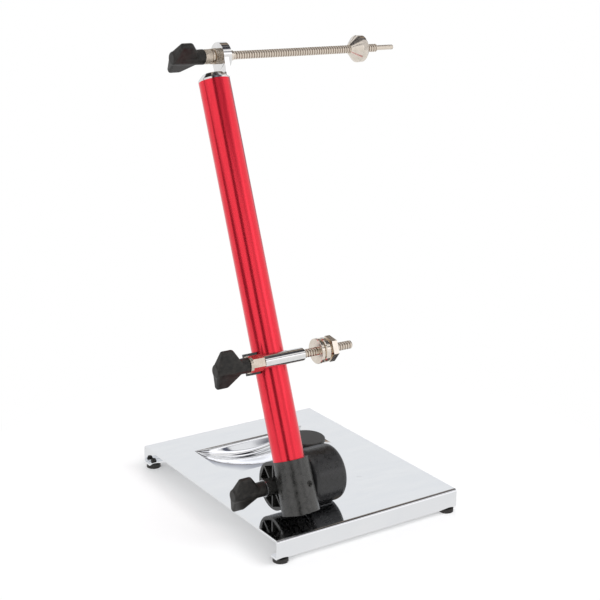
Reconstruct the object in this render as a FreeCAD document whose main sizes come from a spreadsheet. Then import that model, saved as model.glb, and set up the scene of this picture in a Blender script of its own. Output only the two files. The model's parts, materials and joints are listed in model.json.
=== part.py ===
import FreeCAD, Part
import os
import re
import Sketcher
from FreeCAD import Placement, Rotation, Vector

# Bench stand for truing bicycle wheels.  Millimetres, +Z up, +X along the axle.
# The origin is on the bench surface under the middle of the whole stand.
#
# Pieces on the arm are drawn in the arm's own axes: Z along the tube, -Y to the
# front, stations counted from the pivot.  on_arm() leans them back with the arm.
# The tube runs tube_offset in front of the pivot, past the side of its bolt.

SIZES = [
    # the base sits left of the origin, because the axle reaches out to the right
    ("stand_shift", -5.8),
    # base plate: chromed sheet, front and rear edges folded down and under
    ("base_width", 203.2), ("base_depth", 254.0), ("sheet", 2.0),
    ("flange_height", 19.05), ("lip_width", 10.5), ("bend_radius", 3.0),
    ("foot_rise", 3.75), ("foot_radius", 7.1), ("foot_inset", 7.2), ("foot_setback", 6.2),
    ("plate_hole_radius", 2.0), ("plate_hole_inset", 62.0), ("plate_hole_setback", 73.0),
    ("stem_radius", 2.0), ("stem_head_radius", 3.1), ("stem_head_height", 2.6),
    # finger scoop pressed into the rear of the plate
    ("scoop_width", 135.0), ("scoop_front", 18.0), ("scoop_back", 86.0),
    ("scoop_depth", 16.6),
    # pivot and fixed housing
    ("pivot_x", -64.7), ("pivot_setback", 49.9), ("pivot_y", "=pivot_setback - base_depth / 2"),
    ("pivot_height", 27.0), ("arm_lean", 21.8),
    ("barrel_radius", 26.8), ("barrel_start", 18.9), ("barrel_end", 55.5),
    ("barrel_round", 5.0), ("seam_station", 38.5), ("seam_width", 0.8), ("seam_depth", 0.3),
    ("pad_half_width", 9.0), ("pad_height", 6.0),
    ("post_x", 44.9), ("post_y", 29.2), ("post_radius", 16.4), ("post_height", 49.3),
    ("web_half_width", 6.0), ("web_gap", 4.0), ("web_drop", 10.0),
    ("cap_radius", 18.1), ("cap_height", 3.2), ("cap_spigot_radius", 10.0),
    ("cap_spigot_depth", 5.0), ("cap_relief", 0.3), ("cap_chamfer", 0.8),
    ("base_screw_radius", 2.5), ("base_screw_head", 4.5), ("base_screw_head_height", 2.4),
    ("base_screw_reach", 10.0), ("base_screw_inset", 9.0),
    ("bolt_radius", 4.0), ("bolt_head_radius", 7.5), ("bolt_head_height", 5.0),
    ("bolt_recess", 6.5), ("washer_radius", 14.5), ("running_fit", 0.05),
    ("face_gap", 0.1), ("seat_gap", 0.05), ("washer_sheet", 0.8),
    # arm knuckle: tube socket in front of an open ribbed hub on the pivot
    ("tube_offset", 19.8), ("sleeve_radius", 16.3), ("sleeve_flare", 1.0),
    ("sleeve_shift", 1.3), ("sleeve_front", 0.8), ("sleeve_top", 21.75),
    ("sleeve_bottom", -26.8), ("spout_radius", 9.2), ("spout_height", 1.7),
    ("spout_slot", 2.4), ("hub_radius", 22.6), ("hub_face", -10.8), ("hub_rim", 2.4),
    ("pocket_depth", 6.4), ("hub_boss_radius", 8.2), ("boss_end", -19.6),
    ("rib_thickness", 1.8), ("cheek_end", 18.0), ("tube_seat", -17.2),
    ("knuckle_screw_drop", -2.0), ("knuckle_screw_x", 6.4), ("knuckle_screw_seat", 14.9),
    ("knuckle_screw_head", 2.9), ("knuckle_screw_shank", 1.6),
    # tube and eye
    ("tube_radius", 14.5), ("tube_wall", 1.8), ("tube_top", 370.8), ("eye_rise", 22.6),
    ("eye_height", "=tube_top + eye_rise"),
    ("plug_length", 22.0), ("plug_rim", 1.6), ("dome_height", 4.5),
    ("eye_radius", 12.5), ("eye_left", 8.3), ("eye_right", 16.6),
    ("neck_left", 8.5), ("neck_right", 13.0), ("neck_half_width", 9.8),
    # threaded rods and wing knobs
    ("rod_radius", 3.9), ("knob_length", 32.4), ("knob_hub_radius", 7.0),
    ("knob_crest_radius", 6.2), ("wing_radius", 19.1), ("wing_root", -2.9),
    ("wing_shoulder", -17.5), ("wing_end", -29.0), ("wing_half_root", 6.0),
    ("wing_half_tip", 2.5), ("knob_bore_depth", 25.6), ("knob_round", 1.2),
    ("pivot_knob_turn", 22.0), ("calliper_knob_turn", 15.0), ("axle_knob_turn", 47.0),
    # axle
    ("axle_knob_base", -6.7), ("knurl_radius", 6.8), ("knurl_end", 0.9),
    ("clamp_nut_radius", 7.2), ("spacer_radius", 4.65), ("spacer_end", 24.4),
    ("axle_rod_start", -29.5), ("axle_thread_end", 188.2), ("axle_pin_radius", 2.4),
    ("axle_pin_end", 208.7), ("cone_start", 155.7), ("cone_tip_radius", 4.65),
    ("cone_radius", 12.95), ("cone_end", 164.8), ("cone_nut_end", 172.1),
    ("cone_nut_flat", 11.8), ("cone_nut_chamfer", 1.8),
    # calliper
    ("calliper_height", 112.3), ("barrel_tube_gap", 0.3),
    ("calliper_front", "=tube_radius + barrel_tube_gap + barrel_tube_radius"), ("ring_radius", 17.1),
    ("ring_half_height", 6.1), ("ear_reach", 23.6), ("ear_half_height", 9.8),
    ("ear_half_depth", 5.4), ("barrel_tube_radius", 5.9), ("barrel_tube_left", -18.8),
    ("barrel_tube_right", 23.8), ("calliper_knob_base", -35.1), ("nut_flange_radius", 7.7),
    ("nut_flange", 2.9), ("nut_flat", 6.5), ("nut_end", -20.2), ("gauge_rod_start", -55.0),
    ("gauge_rod_end", 75.7), ("gauge_disc_start", 37.3), ("gauge_disc_radius", 11.7),
    ("gauge_disc_width", 3.1), ("gauge_groove_width", 2.1), ("gauge_groove_radius", 8.4),
    ("gauge_ring_radius", 11.3), ("gauge_ring_width", 4.9), ("locknut_gap", 2.4),
    ("locknut_neck", 5.9), ("locknut_flat", 10.4), ("locknut_width", 5.6),
]
NAMES = re.compile(r"\b(" + "|".join(name for name, _ in SIZES) + r")\b")

doc = FreeCAD.newDocument("TruingStand")
sheet = doc.addObject("Spreadsheet::Sheet", "Sizes")
for row, (alias, size) in enumerate(SIZES, start=1):
    sheet.set(f"A{row}", alias)
    sheet.setAlias(f"B{row}", alias)
for row, (alias, size) in enumerate(SIZES, start=1):
    sheet.set(f"B{row}", str(size))
doc.recompute()

parts = []

# Heights of the base plate's faces above the bench
PLATE_TOP = "(foot_rise + flange_height)"
PIVOT_Z = "(foot_rise + flange_height + pivot_height)"


# --- helpers -----------------------------------------------------------------

def bind(obj, prop, text):
    """Bind a property to an expression written with the sheet's aliases."""
    obj.setExpression(prop, NAMES.sub(r"Sizes.\1", text))


def new_body(label):
    body = doc.addObject("PartDesign::Body", label.title().replace("_", ""))
    body.Label = label
    parts.append(body)
    return body


def new_sketch(body, plane, offset=None):
    """Sketch on one of the body's own origin planes, moved along its normal."""
    sketch = body.newObject("Sketcher::SketchObject", body.Label + "_sketch")
    origin_plane = next(f for f in body.Origin.OriginFeatures if f.Role == plane)
    sketch.AttachmentSupport = [(origin_plane, "")]
    sketch.MapMode = "FlatFace"
    if offset:
        bind(sketch, "AttachmentOffset.Base.z", offset)
    return sketch


def fix_point(sketch, curve, end, across, up):
    """Hold a sketch point at driven distances from the origin; None leaves one free."""
    now = sketch.getPoint(curve, end)
    for kind, at, text in (("DistanceX", now.x, across), ("DistanceY", now.y, up)):
        if text is not None:
            index = sketch.addConstraint(Sketcher.Constraint(kind, -1, 1, curve, end, at))
            bind(sketch, f"Constraints[{index}]", text)


def polygon(sketch, points):
    """Closed outline through (across, up) expressions; returns the first edge's number."""
    count = len(points)
    start = [Vector(50, 0, 0)]
    for k in range(count):
        start.append(Rotation(Vector(0, 0, 1), 360.0 * (k + 1) / count) * start[0])
    first = sketch.GeometryCount
    for k in range(count):
        sketch.addGeometry(Part.LineSegment(start[k], start[k + 1]), False)
    for k, (across, up) in enumerate(points):
        following = first + (k + 1) % count
        sketch.addConstraint(Sketcher.Constraint("Coincident", first + k, 2, following, 1))
        fix_point(sketch, first + k, 1, across, up)
    return first


def circle(sketch, across, up, radius):
    curve = sketch.addGeometry(Part.Circle(Vector(1, 1, 0), Vector(0, 0, 1), 5), False)
    fix_point(sketch, curve, 3, across, up)
    index = sketch.addConstraint(Sketcher.Constraint("Radius", curve, 5.0))
    bind(sketch, f"Constraints[{index}]", radius)
    return curve


def box(sketch, left, right, low, high):
    return polygon(sketch, [(left, low), (right, low), (right, high), (left, high)])


def pad(body, sketch, length, symmetric=False, reversed_side=False):
    feature = body.newObject("PartDesign::Pad", body.Label + "_pad")
    feature.Profile = sketch
    feature.Midplane = symmetric
    feature.Reversed = reversed_side
    bind(feature, "Length", length)
    return feature


def pocket(body, sketch, length, symmetric=False, reversed_side=False):
    """Cut, and make sure that the cut took material away."""
    doc.recompute()
    before = body.Shape.Volume
    feature = body.newObject("PartDesign::Pocket", body.Label + "_pocket")
    feature.Profile = sketch
    feature.Midplane = symmetric
    feature.Reversed = reversed_side
    bind(feature, "Length", length)
    doc.recompute()
    if body.Shape.Volume > before - 0.01:
        raise RuntimeError(f"{body.Label}: {feature.Name} cuts nothing")
    return feature


def revolve(body, sketch):
    feature = body.newObject("PartDesign::Revolution", body.Label + "_turned")
    feature.Profile = sketch
    feature.ReferenceAxis = (sketch, ["H_Axis"])
    feature.Angle = 360.0
    return feature


def turned(label, profile):
    """Piece turned about the X axis from its (along, radius) outline."""
    body = new_body(label)
    sketch = new_sketch(body, "XZ_Plane")
    polygon(sketch, profile)
    revolve(body, sketch)
    return body


def ring(label, start, end, outer, inner, chamfer=None):
    """Turned ring; a chamfer breaks its outer edges."""
    if chamfer is None:
        return turned(label, [(start, inner), (end, inner), (end, outer), (start, outer)])
    return turned(label, [
        (start, inner), (end, inner), (end, f"{outer} - {chamfer}"),
        (f"{end} - {chamfer}", outer), (f"{start} + {chamfer}", outer),
        (start, f"{outer} - {chamfer}")])


def hexagon(sketch, flat):
    """Hexagon about the origin with the given distance from centre to flat."""
    polygon(sketch, [(f"{flat} / cos(30 deg) * cos({60 * k + 30} deg)",
                      f"{flat} / cos(30 deg) * sin({60 * k + 30} deg)") for k in range(6)])


def round_edges(body, kind, size, test):
    """Fillet or Chamfer on those edges of the tip whose middle passes the test."""
    doc.recompute()
    base = body.Tip
    names = [f"Edge{k}" for k, edge in enumerate(base.Shape.Edges, start=1)
             if test(edge, edge.valueAt((edge.FirstParameter + edge.LastParameter) / 2))]
    feature = body.newObject(f"PartDesign::{kind}", f"{body.Label}_{kind.lower()}")
    feature.Base = (base, names)
    bind(feature, "Radius" if kind == "Fillet" else "Size", size)
    return feature


def value(alias):
    return float(sheet.get(alias))


def set_in_base(obj, across="0", back="0", up="0"):
    """Place a piece from the base's middle at bench height."""
    for axis, text in (("x", f"stand_shift + {across}"), ("y", back), ("z", up)):
        bind(obj, f".Placement.Base.{axis}", text)


def on_arm(obj, along="0", front="0", turn="-arm_lean"):
    """Seat a piece at a station along and in front of the tube's axis, turned about X."""
    front = f"tube_offset + {front}"
    obj.Placement = Placement(Vector(), Rotation(Vector(1, 0, 0), 10))
    lean = "arm_lean * 1 deg"
    set_in_base(
        obj, "pivot_x",
        f"pivot_y + ({along}) * sin({lean}) - ({front}) * cos({lean})",
        f"{PIVOT_Z} + ({along}) * cos({lean}) + ({front}) * sin({lean})")
    bind(obj, ".Placement.Rotation.Angle", turn)


# --- base --------------------------------------------------------------------

def scoop_section(body, plane_y, half_width, depth):
    """Circular segment hanging from the plate's top, in a plane across the base."""
    sketch = new_sketch(body, "XZ_Plane", f"-({plane_y})")
    left, low, right = Vector(-60, 20, 0), Vector(0, 10, 0), Vector(60, 20, 0)
    line = sketch.addGeometry(Part.LineSegment(left, right), False)
    bow = Part.Arc(left, low, right)
    arc = sketch.addGeometry(bow, False)
    sketch.addConstraint(Sketcher.Constraint("Coincident", line, 1, arc, 1))
    sketch.addConstraint(Sketcher.Constraint("Coincident", line, 2, arc, 2))
    fix_point(sketch, line, 1, f"-({half_width})", PLATE_TOP)
    fix_point(sketch, line, 2, half_width, PLATE_TOP)
    index = sketch.addConstraint(Sketcher.Constraint("Radius", arc, 185.0))
    bind(sketch, f"Constraints[{index}]",
         f"(({half_width})^2 + ({depth})^2) / (2 * ({depth}))")
    return sketch


def loft(body, kind, sections):
    feature = body.newObject(f"PartDesign::{kind}", f"{body.Label}_{kind.lower()}")
    feature.Profile = sections[0]
    feature.Sections = sections[1:]
    feature.Ruled = True
    return feature


def foot_centres():
    return [(f"{i} * (base_width / 2 - foot_inset)", f"{j} * (base_depth / 2 - foot_setback)")
            for i in (-1, 1) for j in (-1, 1)]


def base_screw_centres():
    """Screws from under the plate into the housing's pad and post."""
    return [("pivot_x + barrel_start + base_screw_inset", "pivot_y"),
            ("pivot_x + barrel_end - base_screw_inset", "pivot_y"),
            ("pivot_x + post_x", "pivot_y + post_y")]


def make_base_plate():
    body = new_body("base_plate")
    profile = new_sketch(body, "YZ_Plane")
    half, low, top = "base_depth / 2", "foot_rise", PLATE_TOP
    right = [(half, top), (half, low), (f"{half} - lip_width", low),
             (f"{half} - lip_width", f"{low} + sheet"), (f"{half} - sheet", f"{low} + sheet"),
             (f"{half} - sheet", f"{top} - sheet")]
    left = [(f"-({across})", up) for across, up in reversed(right)]
    polygon(profile, right + left)
    pad(body, profile, "base_width", symmetric=True)
    reach = value("base_depth") / 2
    thick = value("sheet")
    round_edges(body, "Fillet", "bend_radius", lambda edge, at: (
        edge.Length > value("base_width") - 1 and abs(at.y) > reach - 0.01))
    round_edges(body, "Fillet", "bend_radius - sheet", lambda edge, at: (
        edge.Length > value("base_width") - 1 and abs(abs(at.y) - reach + thick) < 0.01))
    half = "scoop_width / 2"
    loft(body, "AdditiveLoft", [
        scoop_section(body, "scoop_back + sheet", half, "scoop_depth + sheet"),
        scoop_section(body, "scoop_front - sheet", half, "sheet")])
    loft(body, "SubtractiveLoft", [
        scoop_section(body, "scoop_back", f"{half} - sheet", "scoop_depth"),
        scoop_section(body, "scoop_front", f"{half} - sheet", "0.3")])
    holes = new_sketch(body, "XY_Plane")
    for across, back in foot_centres():
        circle(holes, across, back, "stem_radius")
    pocket(body, holes, "foot_rise + sheet + 1", reversed_side=True)
    holes = new_sketch(body, "XY_Plane")
    for across, back in base_screw_centres():
        circle(holes, across, back, "base_screw_radius")
    circle(holes, "base_width / 2 - plate_hole_inset", "plate_hole_setback - base_depth / 2",
           "plate_hole_radius")
    pocket(body, holes, "2 * (foot_rise + flange_height)", symmetric=True)
    set_in_base(body)


def make_rubber_feet():
    """Four push-in bumpers: disc under the lip, stem through it, head above."""
    feet = []
    for k, (across, back) in enumerate(foot_centres()):
        disc = doc.addObject("Part::Cylinder", f"FootDisc{k}")
        stem = doc.addObject("Part::Cylinder", f"FootStem{k}")
        head = doc.addObject("Part::Cone", f"FootHead{k}")
        for piece, radius in ((disc, "foot_radius"), (stem, "stem_radius - 0.05")):
            bind(piece, "Radius", radius)
        bind(disc, "Height", "foot_rise")
        bind(stem, "Height", "foot_rise + sheet + 1")
        bind(head, "Radius1", "stem_head_radius")
        bind(head, "Radius2", "stem_head_radius - 1")
        bind(head, "Height", "stem_head_height")
        set_in_base(disc, across, back)
        set_in_base(stem, across, back)
        set_in_base(head, across, back, "foot_rise + sheet")
        foot = doc.addObject("Part::MultiFuse", f"Foot{k}")
        foot.Shapes = [disc, stem, head]
        feet.append(foot)
    group = doc.addObject("Part::Compound", "RubberFeet")
    group.Links = feet
    group.Label = "rubber_feet"
    parts.append(group)


def make_pivot_housing():
    """One moulding: barrel across the pivot, pad under it, anchor post behind."""
    body = new_body("pivot_housing")
    profile = new_sketch(body, "XZ_Plane")
    low, high = "seam_station - seam_width / 2", "seam_station + seam_width / 2"
    right = [(f"barrel_end - barrel_round * (1 - sin({angle} deg))",
              f"barrel_radius - barrel_round * (1 - cos({angle} deg))")
             for angle in (90, 60, 30, 0)]
    left = [(f"barrel_start + barrel_round * (1 - sin({angle} deg))",
             f"barrel_radius - barrel_round * (1 - cos({angle} deg))")
            for angle in (0, 30, 60, 90)]
    polygon(profile, [("barrel_start", "0"), ("barrel_end", "0")] + right + [
        (high, "barrel_radius"), ("seam_station", "barrel_radius - seam_depth"),
        (low, "barrel_radius")] + left)
    revolve(body, profile)
    bore = new_sketch(body, "YZ_Plane")
    circle(bore, "0", "0", "bolt_radius + seat_gap")
    pocket(body, bore, "barrel_end + 1", reversed_side=True)
    recess = new_sketch(body, "YZ_Plane", "barrel_end - bolt_recess")
    circle(recess, "0", "0", "bolt_head_radius + 1")
    pocket(body, recess, "bolt_recess + 1", reversed_side=True)
    foot = new_sketch(body, "XY_Plane", "-pivot_height")
    box(foot, "barrel_start + barrel_round + 0.5", "barrel_end - barrel_round - 0.5",
        "-pad_half_width", "post_y")
    pad(body, foot, "pad_height")
    post = new_sketch(body, "XY_Plane", "-pivot_height")
    circle(post, "post_x", "post_y", "post_radius")
    pad(body, post, "post_height")
    web = new_sketch(body, "XY_Plane", "-pivot_height")
    box(web, "post_x - web_half_width", "post_x + web_half_width",
        "bolt_head_radius + web_gap", "post_y")
    pad(body, web, "post_height - web_drop")
    relief = new_sketch(body, "XY_Plane", "post_height - pivot_height")
    circle(relief, "post_x", "post_y", "cap_radius + cap_relief")
    pocket(body, relief, "barrel_radius", reversed_side=True)
    well = new_sketch(body, "XY_Plane", "post_height - pivot_height - cap_spigot_depth")
    circle(well, "post_x", "post_y", "cap_spigot_radius")
    pocket(body, well, "cap_spigot_depth + 1", reversed_side=True)
    pilots = new_sketch(body, "XY_Plane", "-pivot_height")
    for across, back in (("barrel_start + base_screw_inset", "0"),
                         ("barrel_end - base_screw_inset", "0"), ("post_x", "post_y")):
        circle(pilots, across, back, "base_screw_radius")
    pocket(body, pilots, "base_screw_reach + 1", reversed_side=True)
    set_in_base(body, "pivot_x", "pivot_y", PIVOT_Z)


def make_housing_cap():
    """Flat round cap on the post, held by a spigot."""
    body = new_body("housing_cap")
    disc = new_sketch(body, "XY_Plane")
    circle(disc, "0", "0", "cap_radius")
    pad(body, disc, "cap_height")
    spigot = new_sketch(body, "XY_Plane")
    circle(spigot, "0", "0", "cap_spigot_radius - seat_gap")
    pad(body, spigot, "cap_spigot_depth - 0.5", reversed_side=True)
    round_edges(body, "Chamfer", "cap_chamfer", lambda edge, at: (
        at.z > value("cap_height") - 0.01))
    set_in_base(body, "pivot_x + post_x", "pivot_y + post_y",
                "foot_rise + flange_height + post_height")


def make_base_screws():
    """Pan-head screws that hold the housing, heads under the plate."""
    screws = []
    for k, (across, back) in enumerate(base_screw_centres()):
        head = doc.addObject("Part::Cylinder", f"BaseScrewHead{k}")
        shank = doc.addObject("Part::Cylinder", f"BaseScrewShank{k}")
        bind(head, "Radius", "base_screw_head")
        bind(head, "Height", "base_screw_head_height")
        bind(shank, "Radius", "base_screw_radius - seat_gap")
        bind(shank, "Height", "base_screw_reach + sheet + 1")
        set_in_base(head, across, back, f"{PLATE_TOP} - sheet - base_screw_head_height")
        set_in_base(shank, across, back, f"{PLATE_TOP} - sheet - 1")
        screw = doc.addObject("Part::Fuse", f"BaseScrew{k}")
        screw.Base, screw.Tool = head, shank
        screws.append(screw)
    group = doc.addObject("Part::Compound", "BaseScrews")
    group.Links = screws
    group.Label = "base_screws"
    parts.append(group)


def make_pivot_bolt():
    """Hexagon-head bolt through the housing and the knuckle into the knob."""
    body = new_body("pivot_bolt")
    head = new_sketch(body, "YZ_Plane", "barrel_end - bolt_recess")
    hexagon(head, "bolt_head_radius * cos(30 deg)")
    pad(body, head, "bolt_head_height")
    shank = new_sketch(body, "YZ_Plane", "barrel_end - bolt_recess + 1")
    circle(shank, "0", "0", "bolt_radius")
    pad(body, shank, "barrel_end - bolt_recess + 1 - boss_end + knob_bore_depth - 4",
        reversed_side=True)
    set_in_base(body, "pivot_x", "pivot_y", PIVOT_Z)


def make_friction_washer():
    body = ring("friction_washer", "cheek_end + face_gap", "barrel_start",
                "washer_radius", "bolt_radius + running_fit")
    set_in_base(body, "pivot_x", "pivot_y", PIVOT_Z)


# --- arm ---------------------------------------------------------------------

def make_arm_knuckle():
    """Ribbed pivot hub with the tube's socket moulded on its front."""
    body = new_body("arm_knuckle")
    hub = new_sketch(body, "YZ_Plane", "hub_face")
    circle(hub, "0", "0", "hub_radius")
    pad(body, hub, "cheek_end - hub_face")
    make_hub_pockets(body)
    boss = new_sketch(body, "YZ_Plane", "boss_end")
    circle(boss, "0", "0", "hub_boss_radius")
    pad(body, boss, "hub_face - boss_end + pocket_depth")
    middle = "-(tube_offset + sleeve_front)"
    sleeve = new_sketch(body, "XY_Plane", "sleeve_bottom")
    circle(sleeve, "sleeve_shift", middle, "sleeve_radius + sleeve_flare")
    tapered = pad(body, sleeve, "sleeve_top - sleeve_bottom")
    bind(tapered, "TaperAngle", "-atan(sleeve_flare / (sleeve_top - sleeve_bottom))")
    spout = new_sketch(body, "XY_Plane", "sleeve_bottom - spout_height")
    circle(spout, "sleeve_shift", middle, "spout_radius")
    pad(body, spout, "spout_height + 1")
    slot = new_sketch(body, "XY_Plane", "sleeve_bottom - spout_height")
    box(slot, "sleeve_shift - spout_slot / 2", "sleeve_shift + spout_slot / 2",
        f"{middle} - spout_radius - 1", f"{middle} + spout_radius + 1")
    pocket(body, slot, "spout_height", reversed_side=True)
    seat = new_sketch(body, "XY_Plane", "tube_seat")
    circle(seat, "0", "-tube_offset", "tube_radius + seat_gap")
    pocket(body, seat, "sleeve_top - tube_seat + 1", reversed_side=True)
    bore = new_sketch(body, "YZ_Plane")
    circle(bore, "0", "0", "bolt_radius + running_fit")
    pocket(body, bore, "4 * hub_radius", symmetric=True)
    recess = new_sketch(body, "XZ_Plane", "tube_offset + knuckle_screw_seat")
    circle(recess, "knuckle_screw_x", "knuckle_screw_drop", "knuckle_screw_head + 0.1")
    pocket(body, recess, "sleeve_radius", reversed_side=True)
    hole = new_sketch(body, "XZ_Plane", "tube_offset + knuckle_screw_seat + 1")
    circle(hole, "knuckle_screw_x", "knuckle_screw_drop", "knuckle_screw_shank + seat_gap")
    pocket(body, hole, "5")
    on_arm(body, front="-tube_offset")


def make_hub_pockets(body):
    """Eight open pockets between radial ribs in the hub's outer face."""
    sector = 45
    inner = "hub_boss_radius"
    outer = "(hub_radius - hub_rim)"
    for k in range(8):
        middle = sector * k
        if middle == 180:
            continue
        sketch = new_sketch(body, "YZ_Plane", "hub_face")
        spots = []
        for radius, side in ((inner, -1), (outer, -1), (outer, 1), (inner, 1)):
            half = f"({sector / 2} deg - asin(rib_thickness / 2 / {radius}))"
            angle = f"({middle} deg + ({side}) * {half})"
            spots.append((f"{radius} * cos({angle})", f"{radius} * sin({angle})"))
        polygon(sketch, spots)
        pocket(body, sketch, "pocket_depth", reversed_side=True)


def make_arm_tube():
    body = new_body("arm_tube")
    section = new_sketch(body, "XY_Plane", "tube_seat + 0.1")
    circle(section, "0", "0", "tube_radius")
    circle(section, "0", "0", "tube_radius - tube_wall")
    pad(body, section, "tube_top - tube_seat - 0.1")
    hole = new_sketch(body, "XZ_Plane", "tube_radius")
    circle(hole, "knuckle_screw_x", "knuckle_screw_drop", "knuckle_screw_shank + seat_gap")
    pocket(body, hole, "5")
    on_arm(body)


def make_knuckle_screw():
    """Cross-head screw through the sleeve's front into the tube wall."""
    body = new_body("knuckle_screw")
    head = new_sketch(body, "XZ_Plane", "knuckle_screw_seat")
    circle(head, "knuckle_screw_x", "knuckle_screw_drop", "knuckle_screw_head")
    pad(body, head, "1.8")
    shank = new_sketch(body, "XZ_Plane", "knuckle_screw_seat + 1")
    circle(shank, "knuckle_screw_x", "knuckle_screw_drop", "knuckle_screw_shank")
    pad(body, shank, "5", reversed_side=True)
    on_arm(body)


def make_arm_eye():
    """Chromed end plug: spigot, domed rim and a flat lug with the axle eye."""
    body = new_body("arm_eye")
    spigot = new_sketch(body, "XY_Plane", "tube_top - plug_length")
    circle(spigot, "0", "0", "tube_radius - tube_wall - seat_gap")
    pad(body, spigot, "plug_length")
    rim = new_sketch(body, "XY_Plane", "tube_top")
    circle(rim, "0", "0", "tube_radius")
    pad(body, rim, "plug_rim + dome_height")
    round_edges(body, "Chamfer", "dome_height", lambda edge, at: (
        at.z > value("tube_top") + value("plug_rim") + value("dome_height") - 0.01))
    neck = new_sketch(body, "YZ_Plane", "neck_left")
    polygon(neck, [
        ("-neck_half_width", "tube_top + plug_rim"), ("neck_half_width", "tube_top + plug_rim"),
        ("eye_radius * cos(20 deg)", "eye_height - eye_radius * sin(20 deg)"),
        ("eye_radius * cos(20 deg)", "eye_height"), ("-eye_radius * cos(20 deg)", "eye_height"),
        ("-eye_radius * cos(20 deg)", "eye_height - eye_radius * sin(20 deg)")])
    pad(body, neck, "neck_right - neck_left")
    eye = new_sketch(body, "YZ_Plane", "eye_left")
    circle(eye, "0", "eye_height", "eye_radius")
    pad(body, eye, "eye_right - eye_left")
    bore = new_sketch(body, "YZ_Plane")
    circle(bore, "0", "eye_height", "rod_radius + running_fit")
    pocket(body, bore, "4 * tube_radius", symmetric=True)
    on_arm(body)


# --- knobs -------------------------------------------------------------------

def make_knob(label, bore):
    """Wing knob on the X axis: base at zero, crest at minus knob_length."""
    body = new_body(label)
    wings = new_sketch(body, "XZ_Plane")
    polygon(wings, [
        ("-knob_length", "0"), ("wing_end", "wing_radius"), ("wing_shoulder", "wing_radius"),
        ("wing_root", "0"), ("wing_shoulder", "-wing_radius"), ("wing_end", "-wing_radius")])
    pad(body, wings, "2 * wing_half_root", symmetric=True)
    taper = new_sketch(body, "YZ_Plane")
    clear, far = "wing_half_root + 2", "wing_radius + 2"
    for side in ("1", "-1"):
        polygon(taper, [
            (f"{side} * wing_half_root", "0"), (f"{side} * wing_half_tip", "wing_radius"),
            (f"{side} * wing_half_tip", far), (f"{side} * ({clear})", far),
            (f"{side} * ({clear})", f"-({far})"), (f"{side} * wing_half_tip", f"-({far})"),
            (f"{side} * wing_half_tip", "-wing_radius")])
    pocket(body, taper, "3 * knob_length", symmetric=True)
    round_edges(body, "Chamfer", "knob_round", lambda edge, at: abs(at.z) > 3)
    hub = new_sketch(body, "XZ_Plane")
    polygon(hub, [
        ("0", "0"), ("0", "knob_hub_radius"), ("-knob_length + 1", "knob_crest_radius"),
        ("-knob_length", "knob_crest_radius - 1"), ("-knob_length", "0")])
    revolve(body, hub)
    hollow = new_sketch(body, "YZ_Plane")
    circle(hollow, "0", "0", bore)
    pocket(body, hollow, "knob_bore_depth")
    return body


def make_pivot_knob():
    body = make_knob("pivot_knob", "bolt_radius + 1.6")
    seat_knob(body, "boss_end - face_gap - washer_sheet", "0", "-tube_offset",
              "pivot_knob_turn")
    insert = ring("pivot_knob_insert", "boss_end - face_gap - washer_sheet - 18",
                  "boss_end - face_gap - washer_sheet", "bolt_radius + 1.6",
                  "bolt_radius + running_fit")
    on_arm(insert, front="-tube_offset")
    washer = ring("pivot_knob_washer", "boss_end - face_gap - washer_sheet",
                  "boss_end - face_gap", "knob_hub_radius + 1", "bolt_radius + running_fit")
    on_arm(washer, front="-tube_offset")


def seat_knob(body, base, along, front, turn):
    on_arm(body, along, front, turn)
    bind(body, ".Placement.Base.x", f"stand_shift + pivot_x + {base}")


# --- axle --------------------------------------------------------------------

def make_axle():
    rod = turned("axle_rod", [
        ("axle_rod_start", "0"), ("axle_pin_end", "0"), ("axle_pin_end", "axle_pin_radius - 0.4"),
        ("axle_pin_end - 0.4", "axle_pin_radius"), ("axle_thread_end", "axle_pin_radius"),
        ("axle_thread_end", "rod_radius - 0.6"), ("axle_thread_end - 0.6", "rod_radius"),
        ("axle_rod_start", "rod_radius")])
    knob = make_knob("axle_knob", "rod_radius + seat_gap")
    collar = ring("axle_knurled_collar", "axle_knob_base", "knurl_end", "knurl_radius",
                  "rod_radius + seat_gap", "0.5")
    nut = make_clamp_nut()
    spacer = ring("axle_spacer", "eye_right + face_gap", "spacer_end", "spacer_radius",
                  "rod_radius + seat_gap", "0.5")
    for piece in (rod, collar, nut, spacer):
        on_arm(piece, "eye_height")
    seat_knob(knob, "axle_knob_base", "eye_height", "0", "axle_knob_turn")


def make_clamp_nut():
    """Round nut with a serrated rim between the knurled collar and the eye."""
    body = ring("axle_clamp_nut", "knurl_end", "eye_left - face_gap", "clamp_nut_radius",
                "rod_radius + seat_gap", "0.6")
    notch = new_sketch(body, "YZ_Plane", "knurl_end + 2.6")
    box(notch, "-0.8", "0.8", "clamp_nut_radius - 1.2", "clamp_nut_radius + 1")
    cut = pocket(body, notch, "eye_left - knurl_end", reversed_side=True)
    pattern = body.newObject("PartDesign::PolarPattern", "axle_clamp_nut_notches")
    pattern.Originals = [cut]
    pattern.Axis = (next(f for f in body.Origin.OriginFeatures if f.Role == "X_Axis"), [""])
    pattern.Angle = 360
    pattern.Occurrences = 8
    body.Tip = pattern
    return body


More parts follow.
